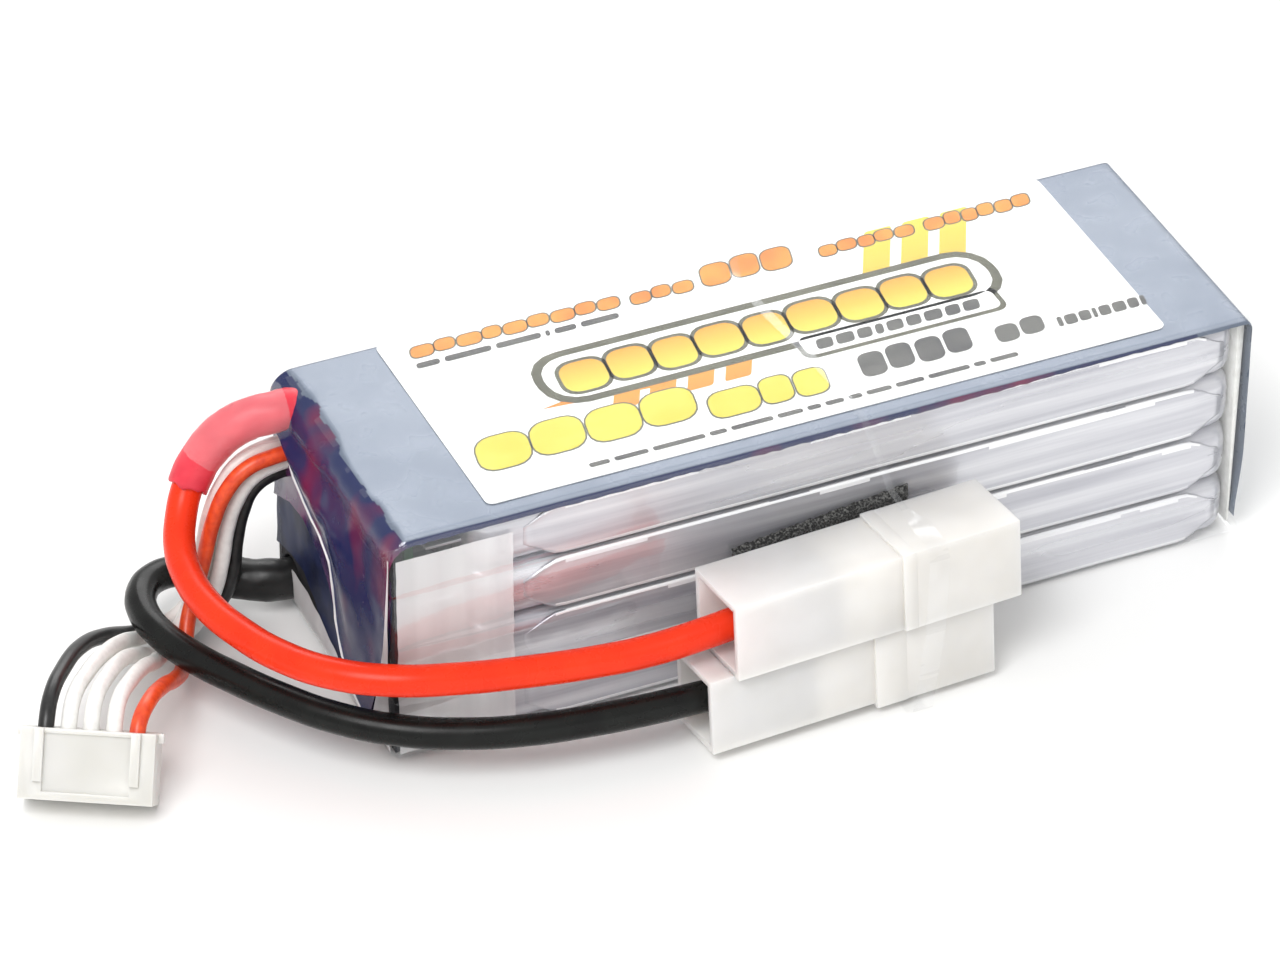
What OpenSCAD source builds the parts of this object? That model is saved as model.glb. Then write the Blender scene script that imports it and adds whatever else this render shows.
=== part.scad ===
// Lithium polymer battery pack: a stack of pouch cells in film and clear shrink wrap,
// with two discharge leads, a two-shell power plug and a five-wire balance lead.
// Frame: origin at the middle of the underside, +X towards the closed end, +Z up.

/* [Pack] */
// Length over the wrap
pack_l = 105; // [103:0.5:107]
// Width over the wrap
pack_w = 36; // [35.5:0.5:37]
// Thickness of the clear shrink wrap
wrap_t = 0.25; // [0.2:0.01:0.25]
// Thickness of the wrap's doubled seam under the pack
seam_t = 0.45; // [0.4:0.05:0.6]

/* [Cells] */
// Thickness of one pouch cell
cell_t = 7; // [6.8:0.1:7.2]
// Width of one pouch cell without its folded seams
cell_w = 34.4; // [33.6:0.1:34.4]
// Length of one pouch cell's body
cell_l = 94; // [92:0.5:94]
// Length of the sealed terrace that the tabs come out of
terrace_l = 4; // [3:0.5:4]
// Thickness of the adhesive pads between cells
pad_t = 0.3; // [0.2:0.05:0.4]
// Width of one tab
tab_w = 8; // [6:0.5:9]

/* [Films] */
// Thickness of the printed film
film_t = 0.2; // [0.15:0.01:0.2]
// Thickness of the label
label_t = 0.15; // [0.1:0.01:0.15]
// Length of the label
label_l = 82.4; // [70:0.1:84]
// Width of the label
label_w = 32.5; // [25:0.1:32.5]

/* [Leads] */
// Outside diameter of a discharge lead
lead_d = 3.6; // [3.4:0.05:3.6]
// Outside diameter of a balance wire
wire_d = 1.8; // [1.6:0.05:1.8]
// Outside diameter of the heat-shrink sleeves on the discharge leads
sleeve_d = 4.8; // [4.4:0.1:4.8]

/* [Power plug] */
// Length of each shell
shell_l = 35; // [33:0.5:36]
// Height of each shell
shell_h = 9.3; // [9:0.1:9.4]
// Depth of the upper shell
upper_depth = 9.8; // [9.4:0.1:10]
// Depth of the lower shell
lower_depth = 8.2; // [8:0.1:8.4]
// Radius of a socket's bore
socket_r = 1.75; // [1.5:0.05:1.8]
// Length of a socket's bore
socket_depth = 12; // [10:0.5:13]

/* [Balance plug] */
// Distance between neighbouring contacts
pitch = 2.5; // [2.5:0.04:2.54]
// Width of the housing
balance_w = 14.8; // [14.6:0.1:15]
// Thickness of the housing
balance_t = 5.75; // [5.7:0.05:5.8]
// Length of the housing in the direction of mating
balance_l = 7.8; // [7.6:0.1:8]

/* [Hidden] */
$fn = 32;
cells = 4;
balance_wires = 5;
eps = 0.01;

// Heights in the stack, from the underside up
cells_z = seam_t;
film_z = cells_z + cells * cell_t + (cells - 1) * pad_t;
label_z = film_z + film_t;
wrap_top_z = label_z + label_t + 0.05;
pack_h = wrap_top_z + wrap_t;

// Stations along X: front end negative, rear end positive
front_x = -pack_l / 2;
rear_x = pack_l / 2;
cell_rear_x = rear_x - 1.5;
cell_front_x = cell_rear_x - cell_l;
terrace_x = cell_front_x - terrace_l;
board_t = 1;
board_x = front_x + 3;
solder_h = 0.5;
lead_start_x = board_x - solder_h;
insulator_x = front_x + 2.1;
front_pad_x = front_x + 0.6;
film_x = front_x + 0.3;
fold_t = 0.3;
inner_w = pack_w - 2 * wrap_t;

// Where the leads and wires pass through the front end: [y, z]
positive_exit = [14, 26.8];
negative_exit = [13.5, 4];
balance_exits = [[14.3, 18.4], [15.3, 20.4], [13.4, 20.2], [14.4, 22.1], [12.5, 22]];
exit_window = [[11.3, 17.2], [16.5, 23.4]];

// Routes of the cords, as points on their centrelines
positive_route = [
    [-50, 14, 26.8], [-53, 14, 26.8], [-56, 14.8, 26.2], [-58.8, 15.6, 24.4], [-61.2, 16, 21.7],
    [-63.2, 15.4, 18.6], [-64.8, 13.5, 16.3], [-66.2, 10.4, 14.7], [-66.9, 6.2, 13.8], [-66.6, 0.8, 13.3],
    [-65, -5, 13.1], [-62.4, -11, 13.2], [-58.6, -16.3, 13.5], [-53.2, -20.2, 13.6],
    [-46.4, -22.4, 13.3], [-39, -23.8, 12.9], [-32, -25, 12.8], [-25.6, -26, 13.1],
    [-19.4, -26.7, 14], [-13, -26.8, 14.8], [-7.24, -26.46, 15.03],
];
negative_route = [
    [-50, 13.5, 4], [-53, 13.5, 4], [-56.8, 15, 4.1], [-60.4, 16.8, 4.7], [-64, 17.5, 5.7],
    [-67.3, 16.5, 6.4], [-69.8, 13.8, 6.8], [-70.8, 10.2, 6.9], [-70.4, 5.6, 7], [-68.7, 0.6, 7],
    [-65.9, -4.8, 7], [-62.6, -10.2, 7], [-58.4, -15.6, 6.9], [-52.8, -20.3, 6.7], [-46.2, -23.6, 6.5],
    [-39.6, -25.8, 6.5], [-33, -27, 6.5], [-26.8, -27.7, 6.5], [-21, -27.9, 6.4], [-15.4, -27.6, 6],
    [-10.14, -27.1, 5.74],
];
balance_routes = [
    [[-50, 14.3, 18.4], [-53, 14.3, 18.4], [-55.7, 14.3, 17.2], [-57.3, 14.3, 14.2], [-58.3, 14, 10.6],
        [-59.3, 13.1, 6.8], [-61.4, 13, 3.1], [-65.4, 13.5, 1.2], [-71, 13, 2.3], [-75.4, 10.4, 5.1],
        [-79.6, 6.4, 7.8], [-83.5, 1.4, 9.4], [-86.5, -3, 9.7], [-87.8, -5.2, 8.7], [-88.7, -6.78, 6.54]],
    [[-50, 15.3, 20.4], [-53.4, 15.3, 20.4], [-56.2, 15.3, 19.4], [-58.3, 15.3, 16.8], [-59.7, 15.2, 13.4],
        [-61, 14.6, 9.6], [-62.2, 14, 6.9], [-64.3, 13.2, 4.5], [-70.4, 11.1, 3.2], [-74.2, 8, 5.6],
        [-77.8, 3.9, 8], [-81.4, -0.4, 9.4], [-84.3, -4.2, 9.7], [-85.65, -6.45, 8.7], [-86.53, -8.02, 6.54]],
    [[-50, 13.4, 20.2], [-53.4, 13.4, 20.2], [-56.2, 13.4, 19.2], [-58.2, 13.4, 16.6], [-59.5, 13.3, 13.2],
        [-60.5, 12.7, 9.4], [-61.8, 12.1, 5.9], [-64, 11.5, 3], [-69.6, 9.4, 1.7], [-73.1, 6.6, 4.4],
        [-76.3, 2.7, 7.4], [-79.4, -1.5, 9.2], [-82.2, -5.4, 9.7], [-83.5, -7.6, 8.7], [-84.35, -9.25, 6.54]],
    [[-50, 14.4, 22.1], [-53.8, 14.4, 22.1], [-57.2, 14.4, 21], [-59.5, 14.4, 18.4], [-61.1, 14.3, 15],
        [-62.3, 13.7, 11.2], [-63.6, 12.7, 7.6], [-65.6, 10.9, 4.9], [-68.8, 8.1, 3.5], [-71.5, 4.8, 4.4],
        [-74.2, 1.2, 6.9], [-77.2, -2.9, 8.9], [-80, -6.7, 9.6], [-81.3, -8.9, 8.7], [-82.18, -10.49, 6.54]],
    [[-50, 12.5, 22], [-53.7, 12.5, 22], [-57.3, 12.5, 21.2], [-59.7, 12.5, 18.9], [-61.4, 12.4, 15.4],
        [-62.9, 11.7, 11.4], [-64.5, 10.5, 8.1], [-66.3, 8.5, 5.8], [-67.5, 6.4, 3.9], [-68.9, 3.6, 3.3],
        [-71, 0.2, 4.9], [-74, -4, 7.8], [-77, -7.8, 9.3], [-78.95, -10.1, 8.7], [-80.01, -11.73, 6.54]],
];
// The route points at which the solids have a ring; the other points only shape the curve
lead_rings = [0, 1, 3, 5, 7, 9, 11, 12, 13, 15, 17, 19, 20];
wire_rings = [0, 1, 3, 5, 6, 7, 8, 9, 11, 13, 14];
positive_sleeve_rings = 4;
negative_sleeve_rings = 3;
cord_sides = 8;

// Where the power plug lies: the lower shell's rear, near, bottom corner
plug_at = [-20.5, -32.2, 1.5];
plug_yaw = 3;
plug_lean = 5.5;
upper_shift = [2.9, -1.2];
shell_wall = 0.8;
rear_cavity = 13;
mouth_depth = 1.2;
upper_shroud_from = 0.63;
lower_shroud_from = 0.685;
shroud_out = 0.4;
collar_out = 0.45;
upper_collar_w = 1.6;
lower_collar_w = 3.8;
socket_wall = 0.6;
socket_clearance = 0.05;
crimp_r = 2.1;

// Where the balance plug leans: the middle of its wire face
balance_at = [-83.8, -8.3, 8.05];
balance_yaw = -29.7;
balance_tilt = -36;
wire_hole_l = 2.1;
contact_w = 1.7;
slot_w = contact_w + 0.1;

// The clear band around the pack and the plug
band_w = 2.5;
band_t = 0.2;
band_x = 4;

// ---------------------------------------------------------------- cells

module rounded_slab(x0, x1, w, r, t) {
    for (y = [-w / 2 + r, w / 2 - r])
        for (x = [x0 + r, x1 - r])
            translate([x, y, 0]) cylinder(r = r, h = t);
    translate([x0 + r, -w / 2, 0]) cube([x1 - x0 - 2 * r, w, t]);
    translate([x0, -w / 2 + r, 0]) cube([x1 - x0, w - 2 * r, t]);
}

function cell_bottom(i) = cells_z + i * (cell_t + pad_t);

// Every other cell lies the other way up, so its positive tab is on the other side
function positive_side(i) = i % 2 == 0 ? -1 : 1;

module pouch_cell(i) {
    corner_r = 3;
    seam_inset = 4;
    seam_h = cell_t - 1.2;
    seal_t = 0.4;
    color("silver") translate([0, 0, cell_bottom(i)]) {
        rounded_slab(cell_front_x, cell_rear_x, cell_w, corner_r, cell_t);
        translate([terrace_x, -cell_w / 2 + 2, (cell_t - seal_t) / 2])
            cube([terrace_l + eps, cell_w - 4, seal_t]);
        for (side = [-1, 1])
            translate([cell_front_x + seam_inset, side * (cell_w + fold_t) / 2 - fold_t / 2, 0.6])
                cube([cell_l - 2 * seam_inset, fold_t, seam_h]);
    }
}

module cell_1() pouch_cell(0);
module cell_2() pouch_cell(1);
module cell_3() pouch_cell(2);
module cell_4() pouch_cell(3);

module cell_adhesive_pads() {
    color("whitesmoke")
        for (i = [0 : cells - 2])
            translate([cell_front_x + 6, -14, cell_bottom(i) + cell_t]) cube([cell_l - 12, 28, pad_t]);
}

// One tab from a cell's terrace, folded up against the back of the board
module tab(i, side) {
    tab_t = 0.2;
    z = cell_bottom(i) + cell_t / 2;
    length = terrace_x - board_x - board_t;
    translate([board_x + board_t, side * 9 - tab_w / 2, z - tab_t / 2]) {
        cube([length, tab_w, tab_t]);
        cube([tab_t, tab_w, 2.6]);
    }
}

module positive_tabs() {
    color("gainsboro")
        for (i = [0 : cells - 1]) tab(i, positive_side(i));
}

module negative_tabs() {
    color("darkgray")
        for (i = [0 : cells - 1]) tab(i, -positive_side(i));
}

// ---------------------------------------------------------------- front end

module tab_board() {
    color("darkgreen")
        translate([board_x, -15, 2]) cube([board_t, 31, 26.6]);
}

module joint_at(exit, r) {
    translate([lead_start_x, exit[0], exit[1]]) rotate([0, 90, 0]) cylinder(r = r, h = solder_h);
}

module solder_joints() {
    color("lightgray") {
        joint_at(positive_exit, 1.8);
        joint_at(negative_exit, 1.8);
        for (exit = balance_exits) joint_at(exit, 0.85);
    }
}

// The three ways through a sheet at the front end: both leads and the balance wires
module front_windows(clearance) {
    depth = 3;
    for (exit = [positive_exit, negative_exit])
        translate([front_x, exit[0], exit[1]]) rotate([0, 90, 0])
            cylinder(r = sleeve_d / 2 + clearance, h = depth);
    translate([front_x, exit_window[0][0], exit_window[0][1]])
        cube([depth, exit_window[1][0] - exit_window[0][0], exit_window[1][1] - exit_window[0][1]]);
}

module board_insulator() {
    color("beige") difference() {
        translate([insulator_x, -16, 1]) cube([0.2, 33, 28]);
        front_windows(0.1);
    }
}

module front_end_pad() {
    color([0.08, 0.08, 0.1]) difference() {
        translate([front_pad_x, -17, 0.8]) cube([insulator_x - front_pad_x - 0.1, 34.4, 28.2]);
        front_windows(0.2);
    }
}

module rear_end_pad() {
    color("whitesmoke")
        translate([cell_rear_x, -16.5, cells_z + 0.5]) cube([0.9, 33, film_z - cells_z - 0.5]);
}

// ---------------------------------------------------------------- films

// Film over the top and both ends, turned down over the long top edges.
// At the front it hangs to a slanting free edge, which leaves the black lead and the wires their way out.
module blue_film() {
    turned = 0.8;
    rear_film_x = rear_x - wrap_t - film_t;
    flap = [
        [-17.5, 1], [-8, 1.5], [-4, 8], [1, 14], [7, 19], [10.2, 21.4], [10.8, 23.6], [17.4, 23.9],
        [17.4, 29], [-17.5, 29],
    ];
    color([0.12, 0.18, 0.42]) {
        translate([film_x, -inner_w / 2, film_z]) cube([rear_film_x + film_t - film_x, inner_w, film_t]);
        for (side = [-1, 1])
            translate([film_x, side * (inner_w - film_t) / 2 - film_t / 2, film_z - turned])
                cube([pack_l - 4, film_t, turned + eps]);
        translate([rear_film_x, -17.4, 2]) cube([film_t, 34.8, film_z - 2 + eps]);
        difference() {
            union() {
                translate([film_x, 0, 0]) rotate([90, 0, 90]) linear_extrude(film_t) polygon(flap);
                translate([film_x, -17.5, 29 - eps]) cube([film_t, 34.9, film_z - 29 + 2 * eps]);
            }
            front_windows(0.1);
        }
    }
}

module label() {
    label_x = -39.7;
    color("white")
        translate([label_x, inner_w / 2 - 0.25 - label_w, label_z]) cube([label_l, label_w, label_t]);
}

module side_tape() {
    color([0.9, 0.9, 0.92, 0.6])
        translate([front_x + 0.9, -inner_w / 2 + 0.04, 1]) cube([13.7, 0.16, 26.3]);
}

module shrink_wrap() {
    groove_w = band_w + 0.6;
    groove_h = band_t + 0.05;
    color([0.8, 0.85, 0.9, 0.25]) difference() {
        translate([front_x, -pack_w / 2, 0]) cube([pack_l, pack_w, pack_h]);
        translate([front_x + wrap_t, -inner_w / 2, seam_t])
            cube([pack_l - 2 * wrap_t, inner_w, wrap_top_z - seam_t]);
        translate([front_x - 1, -12.5, 1.2]) cube([2, 29.3, 28]);
        translate([rear_x - 1, -12.5, 5]) cube([2, 25, 20]);
        translate([band_x - groove_w / 2, -pack_w / 2 - 1, -1]) cube([groove_w, pack_w + 2, 1 + groove_h]);
    }
}

module hook_and_loop_patch() {
    outline = [[-12, 8], [9.5, 8], [9.5, 20], [-12, 17.4]];
    color([0.06, 0.06, 0.06])
        translate([0, -pack_w / 2, 0]) rotate([90, 0, 0]) linear_extrude(0.8) polygon(outline);
}

// ---------------------------------------------------------------- cords

// The direction of a route at one of its points
function along(route, i) =
    let(d = route[min(i + 1, len(route) - 1)] - route[max(i - 1, 0)]) d / norm(d);

// One ring of a tube, square to the route, with its first point nearest straight up
function ring(centre, d, r, sides) =
    let(side = cross(d, [0.02, 0.05, 1]), u = side / norm(side), v = cross(u, d))
    [for (k = [0 : sides - 1]) centre + r * (u * cos(360 * k / sides) + v * sin(360 * k / sides))];

// A closed tube of radius r that follows the route, with one ring at each of its points
module swept_tube(route, r, sides = cord_sides) {
    n = len(route);
    points = [for (i = [0 : n - 1]) each ring(route[i], along(route, i), r, sides)];
    walls = [
        for (i = [0 : n - 2], k = [0 : sides - 1])
            let(a = i * sides + k, b = i * sides + (k + 1) % sides)
            each [[a, b, a + sides], [b, b + sides, a + sides]]
    ];
    first_cap = [for (k = [sides - 1 : -1 : 0]) k];
    last_cap = [for (k = [0 : sides - 1]) (n - 1) * sides + k];
    polyhedron(points = points, faces = [first_cap, each walls, last_cap]);
}

// The points of a route at which its tube has a ring
function points_at(route, stations) = [for (i = stations) route[i]];

// An open sleeve along a route's first n points, with inner radius r_in and outer radius r_out
module lead_sleeve(route, n, r_in = lead_d / 2 + 0.12, r_out = sleeve_d / 2, sides = 12) {
    outer = [for (i = [0 : n - 1]) each ring(route[i], along(route, i), r_out, sides)];
    inner = [for (i = [0 : n - 1]) each ring(route[i], along(route, i), r_in, sides)];
    m = n * sides;
    walls = [
        for (i = [0 : n - 2], k = [0 : sides - 1])
            let(a = i * sides + k, b = i * sides + (k + 1) % sides)
            each [
                [a, b, a + sides], [b, b + sides, a + sides],
                [m + b, m + a, m + a + sides], [m + b, m + a + sides, m + b + sides],
            ]
    ];
    first_end = [
        for (k = [0 : sides - 1])
            let(a = k, b = (k + 1) % sides)
            each [[b, a, m + a], [b, m + a, m + b]]
    ];
    last_end = [
        for (k = [0 : sides - 1])
            let(a = (n - 1) * sides + k, b = (n - 1) * sides + (k + 1) % sides)
            each [[a, b, m + a], [b, m + b, m + a]]
    ];
    polyhedron(points = [each outer, each inner], faces = [each walls, each first_end, each last_end]);
}

module positive_lead_sleeve() {
    color("crimson") lead_sleeve(points_at(positive_route, lead_rings), positive_sleeve_rings);
}

module negative_lead_sleeve() {
    color([0.07, 0.07, 0.07]) lead_sleeve(points_at(negative_route, lead_rings), negative_sleeve_rings);
}

module positive_lead() {
    color("orangered") swept_tube(points_at(positive_route, lead_rings), lead_d / 2);
}

module negative_lead() {
    color([0.1, 0.1, 0.1]) swept_tube(points_at(negative_route, lead_rings), lead_d / 2);
}

module balance_wire(i) {
    color(i == 0 ? [0.1, 0.1, 0.1] : i == balance_wires - 1 ? "orangered" : "whitesmoke")
        swept_tube(points_at(balance_routes[i], wire_rings), wire_d / 2);
}

module balance_wire_1() balance_wire(0);
module balance_wire_2() balance_wire(1);
module balance_wire_3() balance_wire(2);
module balance_wire_4() balance_wire(3);
module balance_wire_5() balance_wire(4);

// ---------------------------------------------------------------- balance plug

// Puts a piece in the balance plug's place: X across the contacts, +Z towards the wires
module at_balance_plug() {
    translate(balance_at) rotate([0, 0, balance_yaw]) rotate([balance_tilt, 0, 0]) children();
}

module at_each_contact() {
    for (i = [0 : balance_wires - 1]) translate([(i - (balance_wires - 1) / 2) * pitch, 0, 0]) children();
}

module balance_plug_housing() {
    rib_x = 5.3;
    rib_w = 1;
    panel_w = 2 * rib_x - rib_w;
    color("white") at_balance_plug() difference() {
        union() {
            translate([-balance_w / 2, -balance_t / 2 + 0.5, -balance_l])
                cube([balance_w, balance_t - 0.5, balance_l]);
            for (x = [-rib_x, rib_x])
                translate([x - rib_w / 2, -balance_t / 2, -5.8]) cube([rib_w, 1, 5.8]);
            for (x = [-balance_w / 2 - 0.6, balance_w / 2 - eps])
                translate([x, -0.6, -1]) cube([0.6 + eps, 1.2, 1]);
        }
        translate([-panel_w / 2, -balance_t / 2, -balance_l + 0.9]) cube([panel_w, 0.8, balance_l - 1.4]);
        at_each_contact() translate([0, 0, -wire_hole_l]) cylinder(r = wire_d / 2 + 0.2, h = wire_hole_l + 1);
        at_each_contact()
            translate([-slot_w / 2, -slot_w / 2, -balance_l - 1])
                cube([slot_w, slot_w, balance_l + 1 - wire_hole_l + eps]);
    }
}

module balance_plug_contacts() {
    length = 5;
    hole_w = 0.9;
    color("gold") at_balance_plug() at_each_contact() difference() {
        translate([-contact_w / 2, -contact_w / 2, -wire_hole_l - length])
            cube([contact_w, contact_w, length]);
        translate([-hole_w / 2, -hole_w / 2, -wire_hole_l - length - 1]) cube([hole_w, hole_w, length]);
    }
}

// ---------------------------------------------------------------- power plug

// Puts a piece in the power plug's place: +X out of the sockets, +Y towards the pack
module at_power_plug() {
    translate(plug_at) rotate([0, 0, plug_yaw]) rotate([-plug_lean, 0, 0]) children();
}

// One shell, from x = 0 at the wire end, with a cavity for the lead and a hole for its socket.
// Only its outer sides carry the shroud and collar: below is -1 where those face down, 1 where up.
module shell(depth, below, shroud_from, collar_w) {
    shroud_x = shroud_from * shell_l;
    socket_outer_r = socket_r + socket_wall + socket_clearance;
    difference() {
        union() {
            cube([shell_l, depth, shell_h]);
            translate([shroud_x, -shroud_out, min(0, below * shroud_out)])
                cube([shell_l - shroud_x, depth + shroud_out, shell_h + shroud_out]);
            translate([shroud_x - collar_w, -collar_out, min(0, below * collar_out)])
                cube([collar_w, depth + collar_out, shell_h + collar_out]);
        }
        translate([-1, shell_wall, shell_wall])
            cube([1 + rear_cavity, depth - 2 * shell_wall, shell_h - 2 * shell_wall]);
        translate([-1, depth / 2, shell_h / 2]) rotate([0, 90, 0])
            cylinder(r = socket_outer_r, h = shell_l + 2);
        translate([shell_l - mouth_depth, shell_wall, shell_wall])
            cube([2, depth - 2 * shell_wall, shell_h - 2 * shell_wall]);
    }
}

// A crimped socket on the axis of its shell: a solid barrel at the wire end, and the bore
module socket(depth) {
    mouth_x = shell_l - mouth_depth - 0.2;
    barrel_x = rear_cavity - 2;
    crimp_l = 4;
    translate([0, depth / 2, shell_h / 2]) rotate([0, 90, 0]) difference() {
        union() {
            translate([0, 0, barrel_x]) cylinder(r = crimp_r, h = crimp_l);
            translate([0, 0, barrel_x + crimp_l])
                cylinder(r = socket_r + socket_wall, h = mouth_x - barrel_x - crimp_l);
        }
        translate([0, 0, mouth_x - socket_depth]) cylinder(r = socket_r, h = socket_depth + 1);
    }
}

module at_upper_shell() {
    at_power_plug() translate([upper_shift[0], upper_shift[1], shell_h]) children();
}

module power_plug_upper_shell() {
    color([0.93, 0.93, 0.9]) at_upper_shell() shell(upper_depth, 1, upper_shroud_from, upper_collar_w);
}

module power_plug_lower_shell() {
    color([0.93, 0.93, 0.9]) at_power_plug() shell(lower_depth, -1, lower_shroud_from, lower_collar_w);
}

module positive_socket() {
    color("goldenrod") at_upper_shell() socket(upper_depth);
}

module negative_socket() {
    color("goldenrod") at_power_plug() socket(lower_depth);
}

// ---------------------------------------------------------------- band

// The band's inner outline in the YZ plane, clockwise from the far bottom corner.
// It goes round the pack, and out round the plug on the near side.
module retaining_band() {
    g = 0.05;
    y = pack_w / 2 + g;
    inner = [
        [y, band_t + g], [y, pack_h + g], [-y, pack_h + g], [-21.5, 20.6], [-31.6, 21.2], [-34.4, 11.4],
        [-33.6, 0.4], [-30, band_t + g],
    ];
    outer = [
        [y + band_t, g], [y + band_t, pack_h + g + band_t], [-y - band_t, pack_h + g + band_t],
        [-21.6, 20.8], [-31.8, 21.4], [-34.6, 11.4], [-33.8, 0.2], [-30, g],
    ];
    color([0.9, 0.95, 1, 0.35])
        translate([band_x - band_w / 2, 0, 0]) rotate([90, 0, 90]) linear_extrude(band_w) difference() {
            polygon(outer);
            polygon(inner);
        }
}

// ---------------------------------------------------------------- nodes

cell_1();
cell_2();
cell_3();
cell_4();
cell_adhesive_pads();
positive_tabs();
negative_tabs();
tab_board();
solder_joints();
board_insulator();
front_end_pad();
rear_end_pad();
blue_film();
label();
side_tape();
shrink_wrap();
positive_lead_sleeve();
negative_lead_sleeve();
positive_lead();
negative_lead();
balance_wire_1();
balance_wire_2();
balance_wire_3();
balance_wire_4();
balance_wire_5();
balance_plug_housing();
balance_plug_contacts();
power_plug_upper_shell();
power_plug_lower_shell();
positive_socket();
negative_socket();
retaining_band();
hook_and_loop_patch();
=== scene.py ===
"""A four-cell lithium polymer battery pack in blue film and clear shrink wrap, with its leads and plugs.

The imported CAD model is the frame. Lengths are in millimetres unless a name or a comment says otherwise.
X runs along the pack from the end with the leads, Y away from the power plug, Z up through the label.
"""
import math

import bmesh
import bpy
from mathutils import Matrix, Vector, noise


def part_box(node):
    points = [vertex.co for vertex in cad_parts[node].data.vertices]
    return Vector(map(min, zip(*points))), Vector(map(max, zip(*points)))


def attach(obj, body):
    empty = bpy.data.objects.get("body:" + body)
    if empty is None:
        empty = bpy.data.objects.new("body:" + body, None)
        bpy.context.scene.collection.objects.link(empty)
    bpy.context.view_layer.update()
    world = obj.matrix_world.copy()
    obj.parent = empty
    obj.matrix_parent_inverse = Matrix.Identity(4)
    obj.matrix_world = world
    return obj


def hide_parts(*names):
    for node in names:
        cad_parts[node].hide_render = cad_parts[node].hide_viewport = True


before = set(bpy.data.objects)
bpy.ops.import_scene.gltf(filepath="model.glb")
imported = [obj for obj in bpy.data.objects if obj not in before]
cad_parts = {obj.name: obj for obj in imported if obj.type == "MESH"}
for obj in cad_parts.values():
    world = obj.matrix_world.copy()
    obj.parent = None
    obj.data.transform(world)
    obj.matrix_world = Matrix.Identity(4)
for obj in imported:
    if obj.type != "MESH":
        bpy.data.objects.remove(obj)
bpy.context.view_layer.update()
MM = 0.001


def box(node):
    """A CAD node's lowest and highest corners, in millimetres."""
    low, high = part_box(node)
    return low / MM, high / MM


LEAD_D = 3.6
WIRE_D = 1.8

# Cells
CELLS = 4
CELL_LOW, CELL_HIGH = box("cell_1")
TERRACE_L = 4.0
POUCH_HALF_W = CELL_HIGH.y - 0.35
SEAM_START = CELL_LOW.x + 10.5
SEAM_END = CELL_HIGH.x - 2.0

# Films
FILM_LOW, FILM_HIGH = box("blue_film")
FILM_HALF_W = FILM_HIGH.y - 0.3
FILM_TOP = FILM_HIGH.z - 0.02
# The outermost film's place at the front end, just under the wrap
FILM_FRONT = FILM_LOW.x - 0.1
# How far the film and the pad behind it draw in towards the bottom of the rear end
REAR_TUCK = 0.7
# Radius of the films' bend over the front top edge: (y, radius) pairs
FOLD_RADIUS = [(-18, 2.7), (-13, 2.9), (-8, 2.3), (-3, 2.3), (4, 3.4), (11, 3.7), (18, 3.0)]
# Free edges of the films that hang down the front end: (y, z) points from the near bottom corner
FLAP_EDGE = [
    (-10.6, 0.9), (-7.4, 2.4), (-4.2, 5.4), (-2.4, 9.5), (-1.8, 13.2), (-0.8, 16.2),
    (1.6, 18.0), (6.5, 19.4), (9.6, 21.0), (11.2, 23.2), (13.6, 24.2), (17.2, 23.2),
]
INNER_EDGE = [
    (-10.8, 0.8), (-6.4, 1.8), (-3.2, 4.6), (-1.4, 8.2), (0.4, 11.6),
    (3.4, 14.2), (8, 16.0), (12, 15.6), (17.1, 13.4),
]
LOWEST_EDGE = [
    (-11.2, 0.7), (-6, 0.9), (-1, 1.3), (2.4, 3.0), (5.2, 6.0), (8.6, 8.2), (12.4, 8.0), (17.0, 6.8),
]

# Lengths and routes of the cords, in metres, as in part.scad
POSITIVE_ROUTE = [
    (-0.05, 0.014, 0.0268), (-0.053, 0.014, 0.0268), (-0.056, 0.0148, 0.0262),
    (-0.0588, 0.0156, 0.0244), (-0.0612, 0.016, 0.0217), (-0.0632, 0.0154, 0.0186),
    (-0.0648, 0.0135, 0.0163), (-0.0662, 0.0104, 0.0147), (-0.0669, 0.0062, 0.0138),
    (-0.0666, 0.0008, 0.0133), (-0.065, -0.005, 0.0131), (-0.0624, -0.011, 0.0132),
    (-0.0586, -0.0163, 0.0135), (-0.0532, -0.0202, 0.0136), (-0.0464, -0.0224, 0.0133),
    (-0.039, -0.0238, 0.0129), (-0.032, -0.025, 0.0128), (-0.0256, -0.026, 0.0131),
    (-0.0194, -0.0267, 0.014), (-0.013, -0.0268, 0.0148), (-0.00724, -0.02646, 0.01503),
]
NEGATIVE_ROUTE = [
    (-0.05, 0.0135, 0.004), (-0.053, 0.0135, 0.004), (-0.0568, 0.015, 0.0041),
    (-0.0604, 0.0168, 0.0047), (-0.064, 0.0175, 0.0057), (-0.0673, 0.0165, 0.0064),
    (-0.0698, 0.0138, 0.0068), (-0.0708, 0.0102, 0.0069), (-0.0704, 0.0056, 0.007),
    (-0.0687, 0.0006, 0.007), (-0.0659, -0.0048, 0.007), (-0.0626, -0.0102, 0.007),
    (-0.0584, -0.0156, 0.0069), (-0.0528, -0.0203, 0.0067), (-0.0462, -0.0236, 0.0065),
    (-0.0396, -0.0258, 0.0065), (-0.033, -0.027, 0.0065), (-0.0268, -0.0277, 0.0065),
    (-0.021, -0.0279, 0.0064), (-0.0154, -0.0276, 0.006), (-0.01014, -0.0271, 0.00574),
]
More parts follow.
